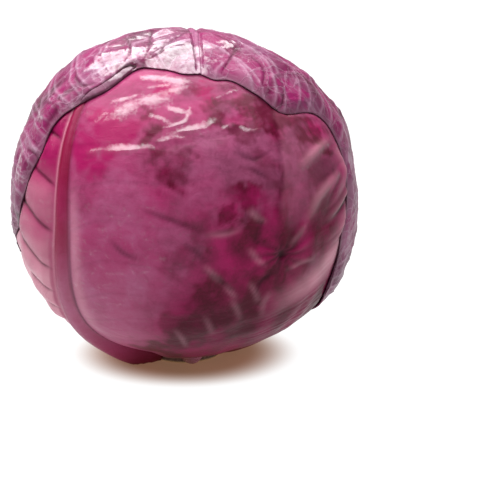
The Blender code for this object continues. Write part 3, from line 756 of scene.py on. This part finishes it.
# %% Colours of the front leaf
def front_creases(grid):
    """Adds painted shade: in the pucker and between its rays, in the creases and vein grooves, along the
    rib's shaded right foot, at the edge of the leaf below, under the cap's margin and in the flank's valleys.
    """
    groove = grid.root * grid.open_blade * smoothstep((0.85 - np.abs(grid.share)) / 0.5)
    grid.by_rib = smoothstep(1.0 - np.abs(grid.feet - 1.2) / 0.35) * smoothstep((grid.t - 0.02) / 0.1)
    cap_depth = leaf_named["cap_leaf"].depth(grid.way)
    uneven = 0.5 + 0.5 * ripple(grid.point, 73, 22 * MM)
    under_cap = 0.7 * uneven * ridge(cap_depth + 0.5 * MM, 2.2 * MM)
    grid.crease = np.clip(
        0.9 * grid.pucker + 0.7 * (1.0 - grid.rays) * grid.ray_share + 0.5 * grid.drawn
        + np.where(grid.left, 0.7, 0.1) * groove + np.where(grid.left, 0.0, 0.7) * grid.by_rib
        + 0.3 * ridge(grid.below, 1.0 * MM) * grid.step_shown + under_cap
        + 0.5 * grid.flank * grid.strength * smoothstep((0.5 - grid.puff) / 0.5) * grid.open_blade,
        0.0, 1.0,
    )


def front_paleness(grid):
    """Adds the paleness: the left blade, paler on its puffs and towards the bottom, the pale band beside the
    rib and its paler lower part, a painted rim light along the far edge and on the flank ridges, painted
    highlights on the rib's left edge, on the step and, in part, on the whiskers, and a painted sheen low in
    the middle.
    """
    left, up = grid.left, grid.up
    low_left = smoothstep(-up / 0.5) * (1.0 - 0.6 * smoothstep((-0.62 - up) / 0.2))
    grid.top_left = smoothstep((up - 0.12) / 0.25) * left
    fleck = 0.85 + 0.15 * ripple(grid.point, 75, 9 * MM)
    # Painted sheen: paler and dustier low in the middle, beside the rib on the right.
    grid.low_right = 0.1 * low_left * smoothstep((0.4 - np.abs(grid.share)) / 0.2)
    pale_panel = np.where(left, (0.25 * grid.puff + 0.15 + 0.95 * low_left) * fleck, grid.low_right)
    pale_panel *= (1.0 - grid.top_left) * smoothstep((grid.feet - 1.3) / 0.5)
    rib_side = ridge(grid.feet - 2.1, 0.8) * smoothstep((0.35 - up) / 0.4) * smoothstep((up + 0.85) / 0.4)
    grid.rib_side = rib_side * ~left
    grid.rib_low = 0.75 * grid.rib_band * ridge(up + 0.5, 0.28)
    # Painted highlight on the rib's lit left edge; its right side gets painted shade.
    pale_edge = np.where(left, 0.5, 0.0) * grid.by_rib
    grid.pale = np.clip(
        pale_panel + pale_edge + 0.85 * grid.far_band + 0.4 * grid.rib_side + 0.35 * grid.whiskers
        + 0.42 * grid.ridges + 0.25 * grid.rib_low + 0.1 * grid.step * (1.0 - grid.flank),
        0.0, 1.0,
    )


def front_tone(grid):
    """Adds the dye with painted shade round the pucker and low on the right, the bloom with a painted sheen,
    and the lost shine, which all follow that painted shade.
    """
    left, up = grid.left, grid.up
    vivid, dusty, dark = (spots(grid, places) for places in (VIVID, DUSTY, DARK))
    crown = smoothstep((up - 0.36) / 0.12)
    # Painted shade: the skin darkens round the pucker and low on the right. It is also darker towards the
    # upper right.
    low = smoothstep((-0.12 - up) / 0.40) * smoothstep((grid.share - 0.15) / 0.3) * (1.0 - grid.far_band)
    shade = np.maximum(np.exp(-((grid.reach / SHADE_RADIUS) ** 2)), low)
    grid.crease = np.maximum(grid.crease, 0.45 * low)
    mottled = 0.4 + 0.6 * smoothstep((grid.share - 0.15) / 0.25)
    patches = (0.28 * ripple(grid.point, 71, 38 * MM) + 0.22 * ripple(grid.point, 72, 14 * MM)) * mottled
    upper_right = grid.upper * smoothstep((grid.share - 0.25) / 0.3)
    tone = 0.80 - 0.65 * shade - 0.4 * upper_right - 0.18 * crown + patches + 0.2 * vivid - 0.5 * dark
    grid.tone = np.clip(np.where(left, np.maximum(tone, 0.7), tone), 0.0, 1.0)
    waxed = 0.5 + 3.0 * grid.low_right + 0.35 * dusty + 0.45 * grid.rib_side - 0.65 * shade - 0.4 * dark
    waxed = np.where(left, 0.25 * (1.0 - grid.top_left), waxed * (1.0 - vivid)) * (1.0 - 0.8 * grid.rib_band)
    grid.bloom = np.clip(waxed + grid.rib_low, 0.0, 1.0)
    low_front = 0.75 * smoothstep((-0.35 - up) / 0.35)
    rough_skin = np.maximum.reduce([0.95 * shade, low_front, crown, grid.rib_band])
    grid.dull = np.clip(0.8 + 0.2 * rough_skin - 1.4 * grid.shine, 0.0, 1.0)


print("colour spots:", len(VIVID), "vivid,", len(DUSTY), "dusty and", len(DARK), "dark")

# %% [markdown]
# The leaves below are seen only low on the sides and from underneath. They get the same side
# veins and soft folds, and fade to plain where another leaf lies over them.

# %% Relief of the leaves below
UNDER_PUFF, UNDER_VEIN, UNDER_FOLD = 0.8 * MM, 0.4 * MM, 0.6 * MM


def under_relief(grid):
    """Height of a lower leaf's relief, with its colour masks."""
    open_blade = smoothstep((grid.t - 0.1) / 0.15) * smoothstep((grid.feet - 1.0) / 1.5)
    height = UNDER_PUFF * grid.puff + UNDER_VEIN * grid.vein + UNDER_FOLD * folds(grid.point, 81, 30 * MM)
    height = height * open_blade * grid.settled + grid.cling
    # Painted shade in the grooves at the veins' roots; the veins themselves are pale.
    grid.crease = 0.3 * grid.root * open_blade
    grid.pale = 0.45 * grid.vein * open_blade
    grid.tone = np.clip(0.5 + 0.3 * ripple(grid.point, 91, 40 * MM), 0.0, 1.0)
    grid.bloom = np.full_like(grid.tone, 0.4)
    grid.dull = np.full_like(grid.tone, 0.3)
    grid.rim = grid.dry
    return height


# %% [markdown]
# A leaf is one closed sheet: a fine outer face, a coarse inner face a blade's thickness below it,
# and a rim between the two. Solidify would also give it a thickness, but the midrib has to swell
# only outwards, and nobody sees the inner face. The colour masks go along as mesh attributes.

# %% From a plan to a mesh
UNDER_MARGIN = 1.0 * MM
FADE_TO_COVER = 4.0 * MM
FLOOR_ROOM = 0.4 * MM
THIN_MARGIN = 0.45
SINK = 0.7 * MM
COARSER = 4
SHARP = math.radians(70)
RIB_ROUNDNESS = (2.6, 1.2)
MASKS = ("pale", "crease", "tone", "rim", "rib", "bloom", "dull")


def around(index):
    """The border of a grid of point numbers, once round."""
    return np.concatenate([index[0], index[1:, -1], index[-1, -2::-1], index[-2:0:-1, 0]])


def quads(index):
    return np.stack([index[:-1, :-1], index[:-1, 1:], index[1:, 1:], index[1:, :-1]], -1).reshape(-1, 4)


def sheet_faces(rows, columns):
    """Faces of a closed thin sheet: a fine outer face, a coarse inner face and the rim."""
    outer = np.arange(rows * columns).reshape(rows, columns)
    inner = outer[::COARSER, ::COARSER]
    inner = np.arange(inner.size).reshape(inner.shape) + outer.size
    top, under = np.append(around(outer), 0), np.append(around(inner), outer.size)
    rim = [
        [*under[j : j + 2], *top[COARSER * j : COARSER * (j + 1) + 1][::-1]]
        for j in range(len(under) - 1)
    ]
    return quads(outer).tolist(), quads(inner)[:, ::-1].tolist(), rim


def new_piece(name, points, faces, masks, skin):
    """Makes a smooth mesh object from points in metres round the head's centre."""
    mesh = bpy.data.meshes.new(name)
    mesh.from_pydata((points + CENTRE).tolist(), [], faces)
    for mask, values in masks.items():
        mesh.attributes.new(mask, "FLOAT", "POINT").data.foreach_set("value", values.astype(np.float32))
    mesh.shade_smooth()
    mesh.set_sharp_from_angle(angle=SHARP)
    mesh.materials.append(skin)
    piece = bpy.data.objects.new(name, mesh)
    bpy.context.scene.collection.objects.link(piece)
    return piece


def grow_leaf(leaf, relief, size, skin):
    """Builds a leaf's mesh over all the leaves below it."""
    place = LEAVES.index(leaf)
    under, over = LEAVES[:place], LEAVES[place + 1 :]
    grid = leaf.lay_out(*size)
    side_veins(grid, 101 + place)
    margin(grid, leaf)
    grid.rib_band = smoothstep((1.3 - grid.feet) / 0.3)
    height = relief(grid)
    shown = np.ones_like(grid.share)
    for other in over:
        covered = other.depth(grid.way) - UNDER_MARGIN + FADE_TO_COVER
        shown *= 1.0 - smoothstep(covered / FADE_TO_COVER)
    run = grid.t**RIB_RUN
    crest = np.clip(1.0 - grid.feet ** RIB_ROUNDNESS[0], 0.0, 1.0) ** RIB_ROUNDNESS[1]
    pressed = PRESSED_RIB + (1.0 - PRESSED_RIB) * shown
    start = inner_radius(grid.way) + GAP + sum(other.lift(grid.way) for other in under)
    height = height * shown
    inner = start + np.clip(height, -SINK, 0.0)
    blade = BLADE * (1.0 - THIN_MARGIN * smoothstep(1.0 - grid.inside / CLING_BAND))
    outer = start + np.maximum(height, -SINK) + blade + leaf.rib_rise(run) * crest * pressed
    outer_points = grid.way * outer[..., None]
    outer_points[..., 2] = np.maximum(outer_points[..., 2], FLOOR_ROOM - CENTRE_HEIGHT)
    inner_points = (grid.way * inner[..., None])[::COARSER, ::COARSER]
    grid.rib = grid.rib_band * (0.8 + 0.2 * ripple(grid.point, 77, 26 * MM))
    front, back, rim = sheet_faces(*grid.share.shape)
    points = np.vstack([outer_points.reshape(-1, 3), inner_points.reshape(-1, 3)])
    faces = front + back + rim
    if not outward(points, front):
        faces = [face[::-1] for face in faces]
    masks = {}
    for mask in MASKS:
        values = getattr(grid, mask)
        masks[mask] = np.append(values, values[::COARSER, ::COARSER])
    piece = new_piece(leaf.name + "_skin", points, faces, masks, skin)
    triangles = sum(len(face) - 2 for face in faces)
    print(piece.name, triangles, "triangles, relief", round(float(height.max()) / MM, 2), "mm")
    return piece


def outward(points, front):
    """Whether the outer faces point away from the head's centre."""
    a, b, c = (points[front[len(front) // 2][k]] for k in (0, 1, 2))
    return np.cross(b - a, c - a) @ a > 0


print("a blade is", BLADE / MM, "mm thick and lies", GAP / MM, "mm off the leaf below")

# %% [markdown]
# One small function adds a node. Its settings are the node's own properties, and its inputs are
# numbers, colours or other nodes' outputs. Colours are written as the eye reads them, in sRGB
# hex, and turned to the linear values that the shader works in.

# %% Tools for materials
def linear(hex_colour):
    """A linear colour from an sRGB hex value."""
    parts = [int(hex_colour[i : i + 2], 16) / 255 for i in (1, 3, 5)]
    return (*(p / 12.92 if p <= 0.04045 else ((p + 0.055) / 1.055) ** 2.4 for p in parts), 1.0)


def node(tree, kind, inputs=None, **settings):
    made = tree.nodes.new(kind)
    for name, value in settings.items():
        setattr(made, name, value)
    for name, value in (inputs or {}).items():
        if isinstance(value, bpy.types.NodeSocket):
            tree.links.new(value, made.inputs[name])
        else:
            made.inputs[name].default_value = value
    return made


def new_material(name):
    """A material with its node tree, its shader and the place on the surface in metres."""
    made = bpy.data.materials.new(name)
    made.use_nodes = True
    tree = made.node_tree
    return made, tree, tree.nodes["Principled BSDF"], node(tree, "ShaderNodeTexCoord").outputs["Object"]


FACTOR, FIRST, SECOND, MIXED = 0, 6, 7, 2
print("mid grey in linear values:", round(linear("#808080")[0], 3))

# %% [markdown]
# A cabbage leaf is purple flesh under a clear waxy skin. The dye sits in cells just below the skin,
# so the colour is deep and the shine is white. Smooth whole wax is a clear coat that mirrors the
# lamp, and powdery or rubbed wax is nearly matt, so the coat's weight follows the masks. Veins have
# little dye, and the finest are drawn in colour and bump only, because they hardly stand out.

# %% Waxy leaf skin
CLOUD_SIZE = 24 * MM
BLOTCH_SIZE = 6 * MM
NET_SIZE = 7.5 * MM
NET_BEND = 5.0 * MM
CRINKLE_SIZE = 3.6 * MM
GRAIN_SIZE = 1.6 * MM
TONE_RANGE = (0.95, 1.75)
WORN_RANGE = (1.1, 1.75)
POWDER = (0.6, 1.0)
CREASE_TINT = "#24010c"
ROUGHER = 0.12
LEAF_IOR, BARE_SHINE = 1.45, 0.1
WAX_IOR, WAX_ROUGHNESS, LEAST_WAX = 1.9, 0.12, 0.02


def waxy_leaf(name, deep, bright, dusty, vein, rim, rib, net_share, crinkle, lie, gloss):
    """Dyed flesh under a waxy skin, whose colour masks come with the mesh."""
    made, tree, shader, place = new_material(name)
    mask = {m: node(tree, "ShaderNodeAttribute", attribute_name=m).outputs["Fac"] for m in MASKS}
    cloud = node(tree, "ShaderNodeTexNoise", {"Vector": place, "Scale": 1 / CLOUD_SIZE, "Detail": 5.0})
    blotch = node(
        tree, "ShaderNodeTexNoise",
        {"Vector": place, "Scale": 1 / BLOTCH_SIZE, "Detail": 6.0, "Roughness": 0.62, "Distortion": 0.6},
    )
    grain = node(tree, "ShaderNodeTexNoise", {"Vector": place, "Scale": 1 / GRAIN_SIZE, "Detail": 3.0})
    mottled = mask["tone"]
    for pattern, weight in ((cloud, 0.8), (blotch, 0.7), (grain, 0.45)):
        inputs = {0: pattern.outputs["Fac"], 1: weight, 2: mottled}
        mottled = node(tree, "ShaderNodeMath", inputs, operation="MULTIPLY_ADD").outputs[0]
    tone = node(
        tree, "ShaderNodeMapRange", {"Value": mottled, "From Min": TONE_RANGE[0], "From Max": TONE_RANGE[1]}
    )
    net = node(
        tree, "ShaderNodeTexVoronoi", {"Vector": place, "Scale": 1 / NET_SIZE}, feature="DISTANCE_TO_EDGE"
    )
    bent = node(
        tree, "ShaderNodeVectorMath", {0: blotch.outputs["Color"], 1: (NET_BEND,) * 3, 2: place},
        operation="MULTIPLY_ADD",
    )
    tree.links.new(bent.outputs[0], net.inputs["Vector"])
    line = node(
        tree, "ShaderNodeMapRange",
        {"Value": net.outputs["Distance"], "From Max": 0.06, "To Min": net_share, "To Max": 0.0},
    )
    patchy = node(
        tree, "ShaderNodeMapRange", {"Value": cloud.outputs["Fac"], "From Min": 0.40, "From Max": 0.55}
    )
    fine_vein = node(tree, "ShaderNodeMath", {0: line.outputs[0], 1: patchy.outputs[0]}, operation="MULTIPLY")
    pale = node(
        tree, "ShaderNodeMath", {0: mask["pale"], 1: fine_vein.outputs[0]}, operation="ADD", use_clamp=True
    )
    spread = {"Value": blotch.outputs["Fac"], "From Min": 0.35, "From Max": 0.65}
    powder = node(
        tree, "ShaderNodeMapRange",
        {**spread, "To Min": POWDER[0], "To Max": POWDER[1]},
    )
    bloom = node(tree, "ShaderNodeMath", {0: mask["bloom"], 1: powder.outputs[0]}, operation="MULTIPLY")
    # Besides the skin's own colours, the pale layer carries painted highlights and rim light, the bloom layer
    # a painted sheen, and the darkest layer painted shade in creases and recesses, with the cap's dark
    # blotches.
    layers = (
        (tone.outputs[0], bright), (mask["rib"], rib), (bloom.outputs[0], dusty), (pale.outputs[0], vein),
        (mask["rim"], rim), (mask["crease"], CREASE_TINT),
    )
    colour = linear(deep)
    for share, tint in layers:
        mix = node(
            tree, "ShaderNodeMix", {FACTOR: share, FIRST: colour, SECOND: linear(tint)}, data_type="RGBA"
        )
        colour = mix.outputs[MIXED]
    tree.links.new(colour, shader.inputs["Base Color"])
    rough = node(
        tree, "ShaderNodeMapRange",
        {**spread, "To Min": gloss, "To Max": gloss + ROUGHER},
    )
    tree.links.new(rough.outputs[0], shader.inputs["Roughness"])
    stretched = node(tree, "ShaderNodeVectorMath", {0: place, 1: lie}, operation="MULTIPLY")
    folded = node(
        tree, "ShaderNodeTexNoise",
        {"Vector": stretched.outputs[0], "Scale": 1 / CRINKLE_SIZE, "Detail": 3.0, "Distortion": 0.8},
    )
    relief = node(tree, "ShaderNodeMath", {0: line.outputs[0], 1: 0.3}, operation="MULTIPLY").outputs[0]
    for pattern, weight in ((folded, crinkle), (grain, 0.02)):
        inputs = {0: pattern.outputs["Fac"], 1: weight, 2: relief}
        relief = node(tree, "ShaderNodeMath", inputs, operation="MULTIPLY_ADD").outputs[0]
    bump = node(tree, "ShaderNodeBump", {"Height": relief, "Distance": MM, "Strength": 1.0})
    tree.links.new(bump.outputs[0], shader.inputs["Normal"])
    worn = mask["dull"]
    for loss in (mask["crease"], folded.outputs["Fac"], grain.outputs["Fac"]):
        worn = node(tree, "ShaderNodeMath", {0: worn, 1: loss}, operation="ADD").outputs[0]
    rubbed = node(
        tree, "ShaderNodeMapRange", {"Value": worn, "From Min": WORN_RANGE[0], "From Max": WORN_RANGE[1]}
    )
    waxed = node(tree, "ShaderNodeMapRange", {"Value": rubbed.outputs[0], "To Min": 1.0, "To Max": LEAST_WAX})
    tree.links.new(waxed.outputs[0], shader.inputs["Coat Weight"])
    constants = (
        ("IOR", LEAF_IOR), ("Specular IOR Level", BARE_SHINE), ("Coat IOR", WAX_IOR),
        ("Coat Roughness", WAX_ROUGHNESS),
    )
    for socket, value in constants:
        shader.inputs[socket].default_value = value
    return made


front_skin = waxy_leaf(
    "young_waxy_leaf", deep="#540a25", bright="#8e124d", dusty="#9b5074", vein="#c98c9d",
    rim="#6c4053", rib="#760b2f", net_share=0.0, crinkle=0.25, lie=(0.4, 0.4, 1.0), gloss=0.30,
)
cap_skin = waxy_leaf(
    "old_crumpled_leaf", deep="#430a22", bright="#7d1a50", dusty="#743c5c", vein="#a37c92",
    rim="#6b4658", rib="#8a4a6c", net_share=0.45, crinkle=0.35, lie=(1.0, 1.0, 1.0), gloss=0.30,
)
under_skin = waxy_leaf(
    "inner_waxy_leaf", deep="#52092a", bright="#922a5e", dusty="#8f5673", vein="#c08894",
    rim="#8a6070", rib="#a86c82", net_share=0.2, crinkle=0.3, lie=(1.0, 1.0, 1.0), gloss=0.32,
)
print("leaf skins made")

# %% [markdown]
# The stalk was cut straight across. Its cream face shows faint rings of wood and fine fibres, and
# its side is greener and wine-stained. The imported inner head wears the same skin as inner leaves.

# %% Cut stalk and inner head
RING_STEP = 2.4 * MM
FACE_EDGE = (0.3 * MM, 1.2 * MM)
FIBRE_SIZE, FIBRE_DEPTH = 1.2 * MM, 0.4 * MM
stalk_flesh, tree, shader, place = new_material("cut_stalk")
axis_at = (float(CENTRE[0]), float(CENTRE[1]), 0.0)
centred = node(tree, "ShaderNodeVectorMath", {0: place, 1: axis_at}, operation="SUBTRACT")
rings = node(
    tree, "ShaderNodeTexWave",
    {"Vector": centred.outputs[0], "Scale": math.pi / 10 / RING_STEP, "Distortion": 2.5, "Detail": 3.0},
    wave_type="RINGS", rings_direction="Z",
)
face_colour = node(
    tree, "ShaderNodeMix",
    {FACTOR: rings.outputs["Fac"], FIRST: linear("#dccfa8"), SECOND: linear("#c7b384")}, data_type="RGBA",
)
stretched = node(tree, "ShaderNodeVectorMath", {0: place, 1: (1.0, 1.0, 0.12)}, operation="MULTIPLY")
fibres = node(
    tree, "ShaderNodeTexNoise", {"Vector": stretched.outputs[0], "Scale": 1 / FIBRE_SIZE, "Detail": 4.0}
)
side_colour = node(
    tree, "ShaderNodeMix",
    {FACTOR: fibres.outputs["Fac"], FIRST: linear("#5f2a3b"), SECOND: linear("#93806a")}, data_type="RGBA",
)
height_of = node(tree, "ShaderNodeSeparateXYZ", {0: place})
on_side = node(
    tree, "ShaderNodeMapRange",
    {"Value": height_of.outputs["Z"], "From Min": FACE_EDGE[0], "From Max": FACE_EDGE[1]},
)
flesh = node(
    tree, "ShaderNodeMix",
    {FACTOR: on_side.outputs[0], FIRST: face_colour.outputs[MIXED], SECOND: side_colour.outputs[MIXED]},
    data_type="RGBA",
)
bump = node(tree, "ShaderNodeBump", {"Height": fibres.outputs["Fac"], "Distance": FIBRE_DEPTH})
tree.links.new(flesh.outputs[MIXED], shader.inputs["Base Color"])
tree.links.new(bump.outputs[0], shader.inputs["Normal"])
shader.inputs["Roughness"].default_value = 0.6
for name, flesh_skin in (("stalk", stalk_flesh), ("inner_head", under_skin)):
    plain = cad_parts[name].data
    plain.materials.clear()
    plain.materials.append(flesh_skin)
    print(name, "wears", flesh_skin.name)

# %% [markdown]
# The leaves are grown from the inside out. Each one lies over those before it in the list, and its
# mesh is as fine as it will be seen: the two outer leaves have vertices less than a millimetre
# apart, and the hidden ones are coarser. Each piece stands for the solid leaf of the same name.

# %% Grow the five wrapper leaves
FINE = (320, 8, 108, 25)
MEDIUM = (200, 8, 64, 17)
COARSE = (132, 6, 41, 10)
for name, relief, size, skin, slot in (
    ("hidden_front_leaf", under_relief, COARSE, under_skin, "inner_leaf"),
    ("left_leaf", under_relief, COARSE, under_skin, "wrapper_leaf"),
    ("right_leaf", under_relief, MEDIUM, front_skin, "wrapper_leaf"),
    ("front_leaf", front_relief, FINE, front_skin, "wrapper_leaf"),
    ("cap_leaf", cap_relief, FINE, cap_skin, "cap_leaf"),
):
    piece = grow_leaf(leaf_named[name], relief, size, skin)
    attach(piece, "root")
    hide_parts(name)

# %% [markdown]
# White paper that glows back at the head, one wide soft panel overhead, and a dim room. The panel
# lays the white shine on the crown and on the folds below it, the dim room keeps the colours deep,
# and the paper lights the lower half and shines along the flanks.

# %% Table, lights and picture
FLOOR_RADIUS = 6.0
GLOW = (0.34, 1.0)
SHADOW_REACH = (0.030, 0.058)
PANEL_PLACE = (-0.28, 0.23, 0.75)
PANEL_SPAN = (1.34, 1.66)
PANEL_RADIANCE = 4.9
ROOM_RADIANCE = 0.3
floor_mesh = bpy.data.meshes.new("table")
corners = [(sx * FLOOR_RADIUS, sy * FLOOR_RADIUS, 0.0) for sx, sy in ((-1, -1), (1, -1), (1, 1), (-1, 1))]
floor_mesh.from_pydata(corners, [], [(0, 1, 2, 3)])
floor = bpy.data.objects.new("table", floor_mesh)
bpy.context.scene.collection.objects.link(floor)
paper, tree, shader, place = new_material("white_paper")
# Round the head's foot the paper's colour and glow fall to a warm brown: a painted contact shadow, tinted
# like light thrown back by the head.
away = node(tree, "ShaderNodeVectorMath", {0: place}, operation="LENGTH")
lit = node(
    tree, "ShaderNodeMapRange",
    {"Value": away.outputs["Value"], "From Min": SHADOW_REACH[0], "From Max": SHADOW_REACH[1]},
    interpolation_type="SMOOTHSTEP",
)
glow = node(tree, "ShaderNodeMapRange", {"Value": lit.outputs[0], "To Min": GLOW[0], "To Max": GLOW[1]})
shaded = node(
    tree, "ShaderNodeMix", {FACTOR: lit.outputs[0], FIRST: linear("#a08673"), SECOND: linear("#404040")},
    data_type="RGBA",
)
tree.links.new(shaded.outputs[MIXED], shader.inputs["Base Color"])
tree.links.new(glow.outputs[0], shader.inputs["Emission Strength"])
bounce = node(
    tree, "ShaderNodeMix", {FACTOR: lit.outputs[0], FIRST: linear("#b98a6c"), SECOND: linear("#ffffff")},
    data_type="RGBA",
)
tree.links.new(bounce.outputs[MIXED], shader.inputs["Emission Color"])
shader.inputs["Roughness"].default_value = 0.9
floor_mesh.materials.append(paper)

panel_light = bpy.data.lights.new("overhead_panel", "AREA")
panel_light.shape, panel_light.size, panel_light.size_y = "RECTANGLE", *PANEL_SPAN
panel_light.energy = PANEL_RADIANCE * math.pi * PANEL_SPAN[0] * PANEL_SPAN[1]
panel = bpy.data.objects.new("overhead_panel", panel_light)
panel.location = head_middle + Vector(PANEL_PLACE)
bpy.context.scene.collection.objects.link(panel)

world = bpy.data.worlds.new("studio")
world.use_nodes = True
sky = world.node_tree.nodes["Background"]
sky.inputs["Color"].default_value = linear("#ffffff")
sky.inputs["Strength"].default_value = ROOM_RADIANCE
bpy.context.scene.world = world
bpy.context.scene.view_settings.view_transform = "Standard"
print("lights ready")
